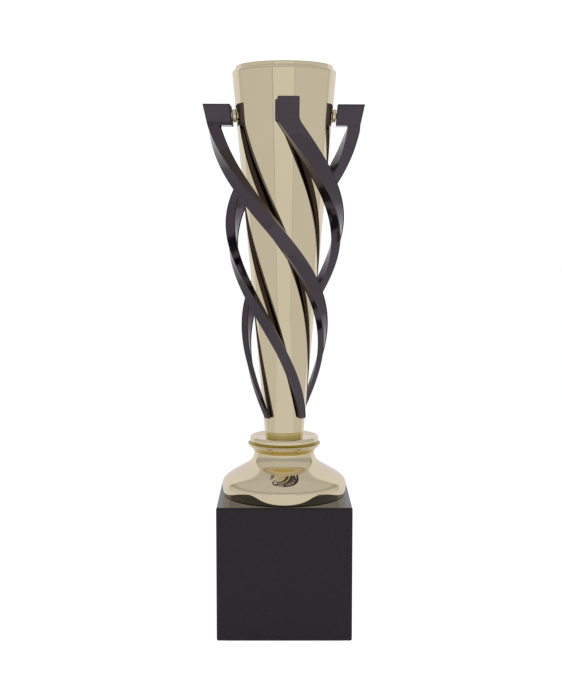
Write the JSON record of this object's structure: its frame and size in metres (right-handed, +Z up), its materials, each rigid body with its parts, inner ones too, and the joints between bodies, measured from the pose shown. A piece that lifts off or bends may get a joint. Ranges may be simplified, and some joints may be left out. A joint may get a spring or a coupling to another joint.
{
  "type": "cup trophy",
  "caption": "Tall trophy: a plain tapered metal cup on a turned foot and a square gloss plinth, with dark twisted arms spiralling round the cup from blocks near its mouth.",
  "frame": {"origin": "centre of the underside, where the felt rests on the table", "axes": "+Z up along the cup's axis, -Y to the front, +X to the viewer's right"},
  "size_m": [0.1096, 0.1096, 0.3816],
  "materials": {
    "champagne_gold": "polished",
    "yellow_gold": "polished",
    "black_nickel": "polished",
    "piano_lacquer": "gloss",
    "felt": "matte",
    "zinc_steel": "satin"
  },
  "bodies": {
    "root": {"base_felt": "felt", "plinth": "piano_lacquer", "foot_bell": "champagne_gold", "foot_collar": "champagne_gold", "stem_ring": "yellow_gold", "cup_body": "champagne_gold", "rim_ring": "champagne_gold", "arm_spacers": "champagne_gold", "arm_front": "black_nickel", "arm_right": "black_nickel", "arm_back": "black_nickel", "arm_left": "black_nickel", "arm_screws": "zinc_steel", "arm_washers": "zinc_steel", "tie_rod": "zinc_steel", "base_washer": "zinc_steel", "base_nut": "zinc_steel", "cup_washer": "zinc_steel", "cup_nut": "zinc_steel"}
  },
  "joints": []
}
